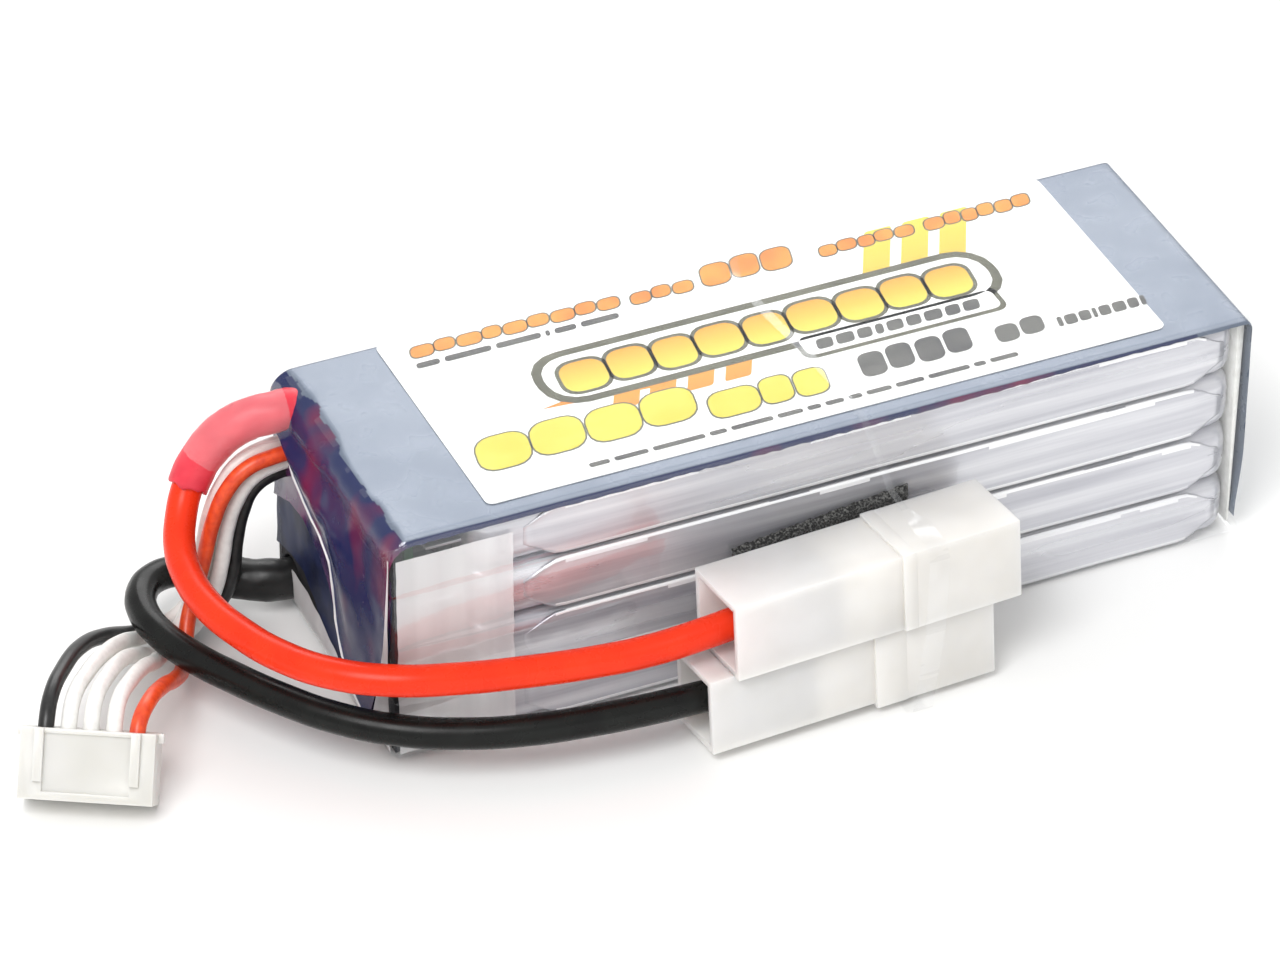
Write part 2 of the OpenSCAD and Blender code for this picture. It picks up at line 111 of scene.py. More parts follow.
BALANCE_ROUTES = [
    [
        (-0.05, 0.0143, 0.0184), (-0.053, 0.0143, 0.0184), (-0.0557, 0.0143, 0.0172),
        (-0.0573, 0.0143, 0.0142), (-0.0583, 0.014, 0.0106), (-0.0593, 0.0131, 0.0068),
        (-0.0614, 0.013, 0.0031), (-0.0654, 0.0135, 0.0012), (-0.071, 0.013, 0.0023),
        (-0.0754, 0.0104, 0.0051), (-0.0796, 0.0064, 0.0078), (-0.0835, 0.0014, 0.0094),
        (-0.0865, -0.003, 0.0097), (-0.0878, -0.0052, 0.0087), (-0.0887, -0.00678, 0.00654),
    ],
    [
        (-0.05, 0.0153, 0.0204), (-0.0534, 0.0153, 0.0204), (-0.0562, 0.0153, 0.0194),
        (-0.0583, 0.0153, 0.0168), (-0.0597, 0.0152, 0.0134), (-0.061, 0.0146, 0.0096),
        (-0.0622, 0.014, 0.0069), (-0.0643, 0.0132, 0.0045), (-0.0704, 0.0111, 0.0032),
        (-0.0742, 0.008, 0.0056), (-0.0778, 0.0039, 0.008), (-0.0814, -0.0004, 0.0094),
        (-0.0843, -0.0042, 0.0097), (-0.08565, -0.00645, 0.0087), (-0.08653, -0.00802, 0.00654),
    ],
    [
        (-0.05, 0.0134, 0.0202), (-0.0534, 0.0134, 0.0202), (-0.0562, 0.0134, 0.0192),
        (-0.0582, 0.0134, 0.0166), (-0.0595, 0.0133, 0.0132), (-0.0605, 0.0127, 0.0094),
        (-0.0618, 0.0121, 0.0059), (-0.064, 0.0115, 0.003), (-0.0696, 0.0094, 0.0017),
        (-0.0731, 0.0066, 0.0044), (-0.0763, 0.0027, 0.0074), (-0.0794, -0.0015, 0.0092),
        (-0.0822, -0.0054, 0.0097), (-0.0835, -0.0076, 0.0087), (-0.08435, -0.00925, 0.00654),
    ],
    [
        (-0.05, 0.0144, 0.0221), (-0.0538, 0.0144, 0.0221), (-0.0572, 0.0144, 0.021),
        (-0.0595, 0.0144, 0.0184), (-0.0611, 0.0143, 0.015), (-0.0623, 0.0137, 0.0112),
        (-0.0636, 0.0127, 0.0076), (-0.0656, 0.0109, 0.0049), (-0.0688, 0.0081, 0.0035),
        (-0.0715, 0.0048, 0.0044), (-0.0742, 0.0012, 0.0069), (-0.0772, -0.0029, 0.0089),
        (-0.08, -0.0067, 0.0096), (-0.0813, -0.0089, 0.0087), (-0.08218, -0.01049, 0.00654),
    ],
    [
        (-0.05, 0.0125, 0.022), (-0.0537, 0.0125, 0.022), (-0.0573, 0.0125, 0.0212),
        (-0.0597, 0.0125, 0.0189), (-0.0614, 0.0124, 0.0154), (-0.0629, 0.0117, 0.0114),
        (-0.0645, 0.0105, 0.0081), (-0.0663, 0.0085, 0.0058), (-0.0675, 0.0064, 0.0039),
        (-0.0689, 0.0036, 0.0033), (-0.071, 0.0002, 0.0049), (-0.074, -0.004, 0.0078),
        (-0.077, -0.0078, 0.0093), (-0.07895, -0.0101, 0.0087), (-0.08001, -0.01173, 0.00654),
    ],
]


def wave(x, y=0.0, seed=0.0):
    """Smooth noise from about -1 to 1."""
    return noise.noise(Vector((x, y, seed)))


def smoothstep(t):
    t = min(max(t, 0.0), 1.0)
    return t * t * (3 - 2 * t)


def quarter(r, d):
    """How far a quarter circle of radius r has risen at a distance d from its start."""
    d = min(max(d, 0.0), r)
    return math.sqrt(r ** 2 - (r - d) ** 2)


def between(place, stops):
    """The value at a place along a straight-sided line through stops, which are (place, value) pairs."""
    if place <= stops[0][0]:
        return stops[0][1]
    for (a, start), (b, end) in zip(stops, stops[1:]):
        if place <= b:
            return start + (end - start) * (place - a) / (b - a)
    return stops[-1][1]


def steps(a, b, n):
    """n + 1 numbers from a to b."""
    return [a + (b - a) * i / n for i in range(n + 1)]


# ---------------- materials


def material(name, colour, roughness=0.4, metallic=0.0, **sockets):
    """A plain shader; each further argument is the name of one of its sockets, with _ for a space."""
    mat = bpy.data.materials.new(name)
    mat.use_nodes = True
    shader = mat.node_tree.nodes["Principled BSDF"]
    shader.inputs["Base Color"].default_value = (*colour, 1)
    shader.inputs["Roughness"].default_value = roughness
    shader.inputs["Metallic"].default_value = metallic
    for socket, value in sockets.items():
        shader.inputs[socket.replace("_", " ")].default_value = value
    return mat


def shader_of(mat):
    return mat.node_tree.nodes["Principled BSDF"]


def noise_in(mat, scale, stretch=(1, 1, 1), detail=3.0):
    """A noise texture in the row frame, with scale in waves per metre. Returns its value socket."""
    nodes = mat.node_tree.nodes
    links = mat.node_tree.links
    place = nodes.new("ShaderNodeTexCoord")
    mapping = nodes.new("ShaderNodeMapping")
    mapping.inputs["Scale"].default_value = stretch
    texture = nodes.new("ShaderNodeTexNoise")
    texture.inputs["Scale"].default_value = scale
    texture.inputs["Detail"].default_value = detail
    links.new(place.outputs["Object"], mapping.inputs["Vector"])
    links.new(mapping.outputs["Vector"], texture.inputs["Vector"])
    return texture.outputs["Fac"]


def spread(mat, value, low, high, to_low, to_high):
    """Maps value from low..high to to_low..to_high."""
    node = mat.node_tree.nodes.new("ShaderNodeMapRange")
    for socket, number in zip(("From Min", "From Max", "To Min", "To Max"), (low, high, to_low, to_high)):
        node.inputs[socket].default_value = number
    mat.node_tree.links.new(value, node.inputs["Value"])
    return node.outputs["Result"]


def tint(mat, value, colour_a, colour_b, low=0.35, high=0.65):
    """Base colour from colour_a to colour_b as value goes from low to high."""
    ramp = mat.node_tree.nodes.new("ShaderNodeValToRGB")
    ramp.color_ramp.elements[0].position = low
    ramp.color_ramp.elements[0].color = (*colour_a, 1)
    ramp.color_ramp.elements[1].position = high
    ramp.color_ramp.elements[1].color = (*colour_b, 1)
    mat.node_tree.links.new(value, ramp.inputs["Fac"])
    mat.node_tree.links.new(ramp.outputs["Color"], shader_of(mat).inputs["Base Color"])


def bump(mat, value, strength, height_mm):
    """Relief from value, up to height_mm high."""
    node = mat.node_tree.nodes.new("ShaderNodeBump")
    node.inputs["Strength"].default_value = strength
    node.inputs["Distance"].default_value = height_mm * MM
    mat.node_tree.links.new(value, node.inputs["Height"])
    mat.node_tree.links.new(node.outputs["Normal"], shader_of(mat).inputs["Normal"])


def roughen(mat, value, low, high):
    """Roughness that varies from low to high with value."""
    mat.node_tree.links.new(spread(mat, value, 0.3, 0.7, low, high), shader_of(mat).inputs["Roughness"])


def foil():
    mat = material("pouch foil", (0.7, 0.7, 0.74), 0.3, 0.55)
    streaks = noise_in(mat, 700, (0.03, 1, 1), 3)
    tint(mat, streaks, (0.46, 0.46, 0.51), (0.76, 0.76, 0.79), 0.3, 0.7)
    roughen(mat, noise_in(mat, 260, (0.1, 1, 1)), 0.24, 0.38)
    bump(mat, streaks, 0.12, 0.04)
    return mat


def painted_seam_highlight():
    """The edge of a folded seam under the wrap, painted near white as a highlight where the wrap lies taut on
    it.
    """
    mat = material("seam edge, painted highlight", (0.92, 0.92, 0.94), 0.3, Coat_Weight=0.5, Coat_Roughness=0.1)
    tint(mat, noise_in(mat, 500, (0.05, 1, 1), 2), (0.72, 0.72, 0.76), (0.97, 0.97, 0.98), 0.3, 0.55)
    return mat


def blue_plastic():
    # The lit copy of the film, for its top; the darker copy where it bends away is painted shade.
    mat = material("blue film", (0.12, 0.15, 0.21), 0.28, 0.2, Coat_Weight=0.15, Coat_Roughness=0.15)
    tint(mat, noise_in(mat, 90, (1, 1, 1), 2), (0.1, 0.132, 0.19), (0.14, 0.172, 0.23), 0.3, 0.7)
    roughen(mat, noise_in(mat, 300), 0.24, 0.34)
    bump(mat, noise_in(mat, 60, (0.6, 1, 1), 1), 0.06, 0.1)
    return mat


def blue_film_painted_shade():
    """The same film painted darker where it bends down over the dark front end and down the near side, as
    painted shade, with crimson tints as a painted reflection of the red lead.
    """
    mat = material("blue film, painted shade and red reflection", (0.03, 0.04, 0.14), 0.22, 0.0, Specular_IOR_Level=0.28)
    tint(mat, noise_in(mat, 150, (1, 1, 0.55), 2), (0.012, 0.02, 0.085), (0.16, 0.012, 0.055), 0.5, 0.74)
    roughen(mat, noise_in(mat, 500), 0.16, 0.28)
    bump(mat, noise_in(mat, 160, (1, 1, 0.6), 2), 0.25, 0.12)
    return mat


def violet_plastic():
    mat = material("inner film", (0.03, 0.015, 0.09), 0.24, 0.0, Specular_IOR_Level=0.4)
    tint(mat, noise_in(mat, 260, (1, 1, 0.4), 3), (0.012, 0.016, 0.07), (0.12, 0.02, 0.1), 0.4, 0.7)
    bump(mat, noise_in(mat, 260, (1, 1, 0.5)), 0.3, 0.12)
    return mat


def clear_plastic(name, alpha, smooth=0.06, rough=0.18):
    """A clear film: a mirror that is mostly see-through, with roughness from smooth to rough."""
    mat = material(name, (0.95, 0.97, 1.0), smooth, 1.0, Alpha=alpha)
    roughen(mat, noise_in(mat, 400, (0.1, 1, 1)), smooth, rough)
    bump(mat, noise_in(mat, 350, (0.12, 1, 1), 2), 0.35, 0.08)
    return mat


def frosted_plastic(name, alpha, stretch):
    mat = material(name, (0.88, 0.87, 0.88), 0.45, 0.0, Alpha=alpha)
    streaks = noise_in(mat, 420, stretch, 2)
    tint(mat, streaks, (0.84, 0.83, 0.84), (0.95, 0.95, 0.95), 0.35, 0.65)
    bump(mat, streaks, 0.15, 0.05)
    return mat


def label_stock():
    mat = material("label stock", (0.93, 0.94, 0.93), 0.4, 0.0, Specular_IOR_Level=0.3)
    tint(mat, noise_in(mat, 60), (0.91, 0.92, 0.9), (0.95, 0.955, 0.94), 0.3, 0.7)
    bump(mat, noise_in(mat, 160, (1, 0.3, 1), 2), 0.08, 0.06)
    return mat


def ink(name, light, dark, scale=220):
    mat = material(name, light, 0.45, 0.0, Specular_IOR_Level=0.15)
    tint(mat, noise_in(mat, scale, (1, 1, 1), 2), dark, light, 0.35, 0.6)
    return mat


def faded_ink(name, lower, upper, low_y, high_y):
    """An ink that fades from one colour to another across the label, between two places in millimetres."""
    mat = material(name, lower, 0.45, 0.0, Specular_IOR_Level=0.15)
    place = mat.node_tree.nodes.new("ShaderNodeTexCoord")
    split = mat.node_tree.nodes.new("ShaderNodeSeparateXYZ")
    mat.node_tree.links.new(place.outputs["Object"], split.inputs["Vector"])
    tint(mat, spread(mat, split.outputs["Y"], low_y * MM, high_y * MM, 0, 1), lower, upper, 0.0, 1.0)
    return mat


def silicone(name, light, dark):
    mat = material(name, light, 0.3, 0.0, Specular_IOR_Level=0.2)
    tint(mat, noise_in(mat, 260, (1, 1, 1), 2), dark, light, 0.3, 0.65)
    roughen(mat, noise_in(mat, 500), 0.22, 0.34)
    bump(mat, noise_in(mat, 2600, (1, 1, 1), 4), 0.08, 0.04)
    return mat


def insulation(name, light, dark):
    mat = material(name, light, 0.34)
    tint(mat, noise_in(mat, 1200), dark, light, 0.3, 0.65)
    bump(mat, noise_in(mat, 3000), 0.12, 0.03)
    return mat


def shrink_tube(name, light, dark):
    mat = material(name, light, 0.33, 0.0, Specular_IOR_Level=0.3)
    tint(mat, noise_in(mat, 420, (0.4, 1, 1)), dark, light, 0.3, 0.7)
    roughen(mat, noise_in(mat, 600), 0.26, 0.46)
    bump(mat, noise_in(mat, 900, (1, 1, 1), 4), 0.3, 0.1)
    return mat


def nylon(name, light, dark, depth_mm):
    mat = material(name, light, 0.38, 0.0, Subsurface_Weight=0.75, Subsurface_Scale=depth_mm * MM)
    shader_of(mat).inputs["Subsurface Radius"].default_value = (1.0, 0.95, 0.85)
    tint(mat, noise_in(mat, 130, (1, 1, 1), 2), dark, light, 0.3, 0.7)
    roughen(mat, noise_in(mat, 800), 0.32, 0.48)
    bump(mat, noise_in(mat, 2200), 0.08, 0.04)
    return mat


def metal(name, light, dark, roughness):
    mat = material(name, light, roughness, 1.0)
    tint(mat, noise_in(mat, 1500, (0.2, 1, 1)), dark, light, 0.3, 0.7)
    roughen(mat, noise_in(mat, 1800, (0.1, 1, 1)), roughness * 0.8, roughness * 1.3)
    bump(mat, noise_in(mat, 3000, (0.1, 1, 1)), 0.15, 0.02)
    return mat


def matte(name, light, dark, scale, height_mm=0.08):
    mat = material(name, light, 0.85)
    grain = noise_in(mat, scale, (1, 1, 1), 5)
    tint(mat, grain, dark, light, 0.3, 0.7)
    bump(mat, grain, 0.6, height_mm)
    return mat


def pile():
    mat = material("black pile", (0.012, 0.012, 0.013), 0.95, 0.0, Sheen_Weight=0.35, Sheen_Roughness=0.5)
    fibres = noise_in(mat, 3800, (1, 1, 1), 6)
    tint(mat, fibres, (0.004, 0.004, 0.004), (0.2, 0.2, 0.19), 0.45, 0.74)
    bump(mat, fibres, 0.9, 0.3)
    return mat


FOIL = foil()
SEAM_HIGHLIGHT = painted_seam_highlight()
BLUE = blue_plastic()
SHADED_BLUE_FILM = blue_film_painted_shade()
VIOLET = violet_plastic()
CLEAR = clear_plastic("clear wrap", 0.085)
CLEAR_TOP = clear_plastic("clear wrap, flat on the films", 0.025)
BAND_CLEAR = clear_plastic("clear band", 0.09, 0.16, 0.34)
COLLAR_CLEAR = frosted_plastic("clear wrap, bunched", 0.12, (1, 1, 0.1))
FROSTED = frosted_plastic("frosted tape", 0.68, (1, 0.04, 0.04))
HEM = frosted_plastic("clear wrap, folded", 0.55, (0.3, 1, 0.1))
LABEL = label_stock()
ORANGE_INK = ink("orange ink", (0.78, 0.32, 0.05), (0.7, 0.22, 0.03))
YELLOW_INK = ink("yellow ink", (0.74, 0.64, 0.09), (0.7, 0.58, 0.06))
PLAQUE_INK = faded_ink("plaque ink", (0.74, 0.66, 0.09), (0.76, 0.3, 0.03), 0.4, 6.4)
STRIPE_INK = faded_ink("stripe ink", (0.76, 0.3, 0.05), (0.78, 0.62, 0.08), -4, 14)
OLIVE_INK = ink("olive ink", (0.14, 0.14, 0.1), (0.1, 0.1, 0.07))
GREY_INK = ink("grey ink", (0.13, 0.13, 0.12), (0.08, 0.08, 0.08))
RED_SILICONE = silicone("red silicone", (0.85, 0.04, 0.009), (0.78, 0.032, 0.007))
BLACK_SILICONE = silicone("black silicone", (0.009, 0.01, 0.009), (0.005, 0.005, 0.005))
RED_PVC = insulation("red insulation", (0.83, 0.09, 0.02), (0.65, 0.05, 0.015))
BLACK_PVC = insulation("black insulation", (0.02, 0.02, 0.02), (0.008, 0.008, 0.008))
WHITE_PVC = insulation("white insulation", (0.88, 0.87, 0.84), (0.78, 0.77, 0.74))
CRIMSON_TUBE = shrink_tube("crimson shrink tube", (0.8, 0.06, 0.085), (0.66, 0.035, 0.06))
BLACK_TUBE = shrink_tube("black shrink tube", (0.02, 0.02, 0.02), (0.006, 0.006, 0.006))
WHITE_NYLON = nylon("white nylon", (0.68, 0.67, 0.645), (0.63, 0.62, 0.585), 1.0)
CLEAR_NYLON = nylon("natural nylon", (0.77, 0.75, 0.72), (0.7, 0.68, 0.65), 4.0)
BRASS = metal("brass", (0.78, 0.6, 0.28), (0.62, 0.46, 0.2), 0.25)
NICKEL = metal("nickel", (0.66, 0.64, 0.6), (0.5, 0.49, 0.46), 0.3)
ALUMINIUM = metal("aluminium", (0.82, 0.82, 0.83), (0.7, 0.7, 0.72), 0.28)
SOLDER = metal("solder", (0.74, 0.74, 0.74), (0.5, 0.5, 0.5), 0.2)
FOAM = matte("dark foam", (0.022, 0.022, 0.028), (0.006, 0.006, 0.008), 2400)
PAPER = matte("insulating paper", (0.74, 0.66, 0.46), (0.6, 0.52, 0.34), 1500, 0.03)
ADHESIVE = matte("adhesive pad", (0.86, 0.86, 0.83), (0.74, 0.74, 0.7), 900)
# Near-white film edge: a painted highlight line.
BEAD_HIGHLIGHT = frosted_plastic("film edge, painted highlight", 0.9, (1, 1, 1))
DEEP = ink("deep navy film", (0.012, 0.02, 0.07), (0.006, 0.01, 0.035), 300)
BOARD = matte("board lacquer", (0.03, 0.14, 0.05), (0.015, 0.08, 0.03), 700, 0.02)
PILE = pile()


# ---------------- mesh helpers


def piece(name, mesh, mat, smooth=True):
    """A visible piece that rides on the pack, from a mesh in metres."""
    mesh.materials.clear()
    mesh.materials.append(mat)
    if smooth:
        mesh.shade_smooth()
    else:
        mesh.shade_flat()
    obj = bpy.data.objects.new(name, mesh)
    bpy.context.scene.collection.objects.link(obj)
    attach(obj, "root")
    return obj


def mesh_of(verts, faces, outward=True):
    """A mesh from points in millimetres."""
    mesh = bpy.data.meshes.new("mesh")
    mesh.from_pydata([Vector(v) * MM for v in verts], [], faces)
    b = bmesh.new()
    b.from_mesh(mesh)
    if outward:
        bmesh.ops.recalc_face_normals(b, faces=b.faces)
    b.to_mesh(mesh)
    b.free()
    return mesh


def grid_faces(n, m, closed, start=0):
    """Quads between n rows of m points; closed joins each row's ends."""
    faces = []
    for i in range(n - 1):
        for j in range(m if closed else m - 1):
            a = start + i * m + j
            b = start + i * m + (j + 1) % m
            faces.append((a, b, b + m, a + m))
    return faces


def capped_tube(rows, start=0):
    """Faces of a tube through rows of points, closed at both ends; start is the first point's number."""
    n, m = len(rows), len(rows[0])
    last = start + (n - 1) * m
    return grid_faces(n, m, True, start) + [tuple(range(start, start + m)), tuple(range(last, last + m))]


def joined(rows):
    """All the points of rows in one list."""
    return [point for row in rows for point in row]


def grid(name, rows, mat, closed=False):
    """A smooth sheet, or with closed an open tube, through rows of points."""
    faces = grid_faces(len(rows), len(rows[0]), closed)
    return piece(name, mesh_of(joined(rows), faces), mat)


def softened(node, mat, width, segments=2):
    """A copy of a CAD node with its edges rounded to a width, in place of the node."""
    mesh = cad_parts[node].data.copy()
    b = bmesh.new()
    b.from_mesh(mesh)
    bmesh.ops.remove_doubles(b, verts=b.verts, dist=0.002 * MM)
    bmesh.ops.dissolve_limit(b, angle_limit=math.radians(1), verts=b.verts, edges=b.edges)
    b.to_mesh(mesh)
    b.free()
    raw = bpy.data.objects.new(node + " raw", mesh)
    bpy.context.scene.collection.objects.link(raw)
    rounding = raw.modifiers.new("rounding", "BEVEL")
    rounding.width = width * MM
    rounding.segments = segments
    rounding.limit_method = "ANGLE"
    rounding.angle_limit = math.radians(40)
    rounding.harden_normals = True
    graph = bpy.context.evaluated_depsgraph_get()
    final = bpy.data.meshes.new_from_object(raw.evaluated_get(graph))
    bpy.data.objects.remove(raw)
    obj = piece(node + "_part", final, mat)
    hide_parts(node)
    return obj


def paint(node, mat):
    """Gives a CAD node that stays visible its material."""
    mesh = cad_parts[node].data
    mesh.materials.clear()
    mesh.materials.append(mat)


def rounded_ring(half_w, half_h, r, n_side, n_top, n_arc):
    """(across, up) points of a rounded rectangle round its middle, anticlockwise from the low right.

    Each side has n_side steps, the top and the bottom have n_top, and each corner has n_arc.
    """
    points = []
    corners = [(1, -1, -90), (1, 1, 0), (-1, 1, 90), (-1, -1, 180)]
    for k, (sx, sy, start) in enumerate(corners):
        cx, cy = sx * (half_w - r), sy * (half_h - r)
        for i in range(n_arc + 1):
            a = math.radians(start + 90 * i / n_arc)
            points.append((cx + r * math.cos(a), cy + r * math.sin(a)))
        nx, ny, nstart = corners[(k + 1) % 4]
        a = math.radians(nstart)
        end = (nx * (half_w - r) + r * math.cos(a), ny * (half_h - r) + r * math.sin(a))
        count = n_side if k % 2 == 0 else n_top
        first = points[-1]
        for i in range(1, count):
            t = i / count
            points.append((first[0] + (end[0] - first[0]) * t, first[1] + (end[1] - first[1]) * t))
    return points


def smooth_route(route):
    """A Catmull-Rom curve in millimetres through a route's points."""
    per = 8
    p = [Vector(q) / MM for q in route]
    out = []
    for i in range(len(p) - 1):
        a, b, c, d = p[max(i - 1, 0)], p[i], p[i + 1], p[min(i + 2, len(p) - 1)]
        for k in range(per):
            t = k / per
            out.append(0.5 * (2 * b + (c - a) * t + (2 * a - 5 * b + 4 * c - d) * t * t
                              + (3 * b - a - 3 * c + d) * t ** 3))
    out.append(p[-1])
    return out


def rings_along(path, radius, sides):
    """Rings of points round a path; radius(i, angle) gives the distance from the path's point i."""
    rows = []
    side = Vector((0, 0, 1))
    for i, p in enumerate(path):
        d = (path[min(i + 1, len(path) - 1)] - path[max(i - 1, 0)]).normalized()
        side = (side - d * side.dot(d)).normalized()
        other = d.cross(side)
        row = []
        for k in range(sides):
            a = math.tau * k / sides
            row.append(p + radius(i, a) * (side * math.cos(a) + other * math.sin(a)))
        rows.append(row)
    return rows


# ---------------- camera and cords


def camera():
    """At the photograph's viewing angle, with a lens and a distance that give its perspective; in metres."""
    azimuth, elevation = math.radians(-23.92), math.radians(36.42)
    distance = 0.786
    target = Vector((-0.0143, 0.0017, 0.0139))
    back = Vector((
        math.sin(azimuth) * math.cos(elevation), -math.cos(azimuth) * math.cos(elevation), math.sin(elevation)
    ))
    data = bpy.data.cameras.new("camera")
    data.sensor_fit = "HORIZONTAL"
    data.sensor_width = 36
    data.lens = 196.9
    data.clip_start = 0.05
    obj = bpy.data.objects.new("camera", data)
    obj.location = target + back * distance
    obj.rotation_euler = back.to_track_quat("Z", "Y").to_euler()
    bpy.context.scene.collection.objects.link(obj)
    bpy.context.scene.camera = obj


def cord_curve(name, route, diameter, mat):
    """A round cord through a route's points."""
    data = bpy.data.curves.new(name, "CURVE")
    data.dimensions = "3D"
    data.resolution_u = 8
    data.bevel_depth = diameter / 2 * MM
    data.bevel_resolution = 7
    data.use_fill_caps = True
    spline = data.splines.new("BEZIER")
    spline.bezier_points.add(len(route) - 1)
    for point, place in zip(spline.bezier_points, route):
        point.co = place
        point.handle_left_type = "AUTO"
        point.handle_right_type = "AUTO"
    data.materials.append(mat)
    obj = bpy.data.objects.new(name, data)
    bpy.context.scene.collection.objects.link(obj)
    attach(obj, "root")
    return obj


def lead_sleeve(name, node, route, stop, mat, outer, ragged):
    """A heat-shrink sleeve over a lead as far as x = stop, with an uneven end and a lip there."""
    path = smooth_route(route)
    last = next(i for i, p in enumerate(path) if p.x < stop)
    path = path[:last + 1]
    inner_r = LEAD_D / 2 + 0.08
    sides = 32
    seed = len(name)

    def skin(i, a):
        x = path[i].x
        lump = 0.16 * wave(x * 0.5, math.sin(a), seed) + 0.07 * wave(x * 1.6, 2 * math.cos(a), 3)
        return outer / 2 + lump

    rows = rings_along(path, skin, sides)
    inner = rings_along(path, lambda i, a: inner_r, sides)
    direction = (path[last] - path[last - 1]).normalized()
    for k in range(sides):
        reach = direction * ragged * wave(k * 0.35, 0, 7)
        rows[last][k] += reach
        inner[last][k] += reach
    obj = grid(name, rows + inner[::-1], mat, closed=True)
    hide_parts(node)
    return obj


def cords():
    """The leads and wires, with their sleeves and the plugs at their ends."""
    red_sleeve = lead_sleeve("crimson_sleeve", "positive_lead_sleeve", POSITIVE_ROUTE, -63.0,
                             CRIMSON_TUBE, 4.7, 0.5)
    black_sleeve = lead_sleeve("black_sleeve", "negative_lead_sleeve", NEGATIVE_ROUTE, -59.9,
                               BLACK_TUBE, 4.8, 1.6)
    upper = softened("power_plug_upper_shell", CLEAR_NYLON, 0.45, 3)
    lower = softened("power_plug_lower_shell", CLEAR_NYLON, 0.45, 3)
    housing = softened("balance_plug_housing", WHITE_NYLON, 0.22, 3)
    red = cord_curve("red_lead", POSITIVE_ROUTE, LEAD_D, RED_SILICONE)
    black = cord_curve("black_lead", NEGATIVE_ROUTE, LEAD_D, BLACK_SILICONE)
    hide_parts("positive_lead")
    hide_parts("negative_lead")
    finishes = [(BLACK_PVC, "black_wire")] + 3 * [(WHITE_PVC, "white_wire")] + [(RED_PVC, "red_wire")]
    for i, (route, (mat, slot)) in enumerate(zip(BALANCE_ROUTES, finishes)):
        wire = cord_curve(f"balance_lead_{i + 1}", route, WIRE_D, mat)
        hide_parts(f"balance_wire_{i + 1}")


# ---------------- cells


def pouch_rows(i, low, high):
    """Sections along a pouch's body, from the start of the terrace to the closed end."""
    middle = (low.z + high.z) / 2
    half_h = (high.z - low.z) / 2
    front, rear = low.x + TERRACE_L, high.x
    corner_r, edge_r, end_r = 3.2, 1.9, 1.5
    flat_half_w = 14
    ends = [0.0, 0.12, 0.4, 0.8, 1.3, 1.9, 2.6, 3.4]
    stations = [front + d for d in ends] + steps(front + 5, rear - 5, 56) + [rear - d for d in reversed(ends)]
    rows = []
    for x in stations:
        d = min(x - front, rear - x)
        w = POUCH_HALF_W - corner_r + quarter(corner_r, d)
        h = half_h - end_r + quarter(end_r, d)
        row = []
        for y, z in rounded_ring(w, max(h, edge_r + 0.05), edge_r, 6, 14, 5):
            dent = 0.08 * wave(x * 0.07, z * 0.6, i) + 0.02 * wave(x * 0.3, z * 0.9 + y * 0.3, i + 9)
            row.append((x, y - math.copysign(abs(dent), y) if abs(y) > flat_half_w else y, middle + z))
        rows.append(row)
    return rows


def seam_rows(i, side, low, high):
    """Sections of a folded side seam, thin and tall, that dies away at both ends."""
    outer_y = POUCH_HALF_W + 0.18
    inner_y = POUCH_HALF_W - 0.1
    rows = []
    for x in steps(SEAM_START, SEAM_END, 70):
        fade = smoothstep(min(x - SEAM_START, SEAM_END - x) / 5 + 0.12)
        top = high.z - 0.12 + 0.1 * wave(x * 0.07, i, side)
        bottom = low.z + 0.2 + 0.12 * wave(x * 0.06, i, side + 5)
        centre = (top + bottom) / 2
        half = (top - bottom) / 2 * (0.35 + 0.65 * fade)
        row = []
        for t in steps(-1, 1, 16):
            belly = outer_y + 0.08 * (1 - t * t) + 0.14 * max(t, 0) ** 6 + 0.05 * wave(x * 0.1, t, i)
            row.append((x, side * (belly - 0.25 * (1 - fade)), centre + half * t))
        for t in steps(1, -1, 16):
            row.append((x, side * (inner_y - 0.2 * (1 - fade)), centre + half * t * 0.98))
        rows.append(row)
    return rows


def terrace_rows(low, high):
    """The sealed strip that the tabs come out of, from its free end to inside the body."""
    middle = (low.z + high.z) / 2
    outline = rounded_ring(14.9, 0.2, 0.08, 1, 6, 2)
    return [[(x, y, middle + z) for y, z in outline] for x in (low.x, low.x + TERRACE_L + 0.6)]


def cell(i):
    """One foil pouch: a cushion of rounded section with its side seams folded up against it."""
    low, high = box(f"cell_{i}")
    body = pouch_rows(i, low, high)
    verts = joined(body)
    faces = capped_tube(body)
    for side in (-1, 1):
        seam = seam_rows(i, side, low, high)
        faces += capped_tube(seam, len(verts))
        verts += joined(seam)
    terrace = terrace_rows(low, high)
    start, count = len(verts), len(terrace[0])
    faces += grid_faces(2, count, True, start) + [tuple(range(start, start + count))]
    verts += joined(terrace)
    obj = piece(f"pouch_{i}", mesh_of(verts, faces), FOIL)
    # Faces along the top and bottom of each side seam take a near-white painted highlight.
    obj.data.materials.append(SEAM_HIGHLIGHT)
    for face in obj.data.polygons:
        x, y, z = face.center / MM
        width = 0.55 + 0.25 * wave(x * 0.05, i, 3)
        seam_highlight_band = high.z - z < width + 0.2 or z - low.z < width
        if abs(y) > POUCH_HALF_W + 0.1 and seam_highlight_band:
            face.material_index = 1
    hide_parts(f"cell_{i}")


# ---------------- films


def corner_drop(x, y):
    """How far the films sag over the front top edge, which the soft pad behind them leaves round."""
    radius = between(y, FOLD_RADIUS) + 0.35 * wave(y * 0.4, 0.4, 2)
    return radius - quarter(radius, x - FILM_FRONT)


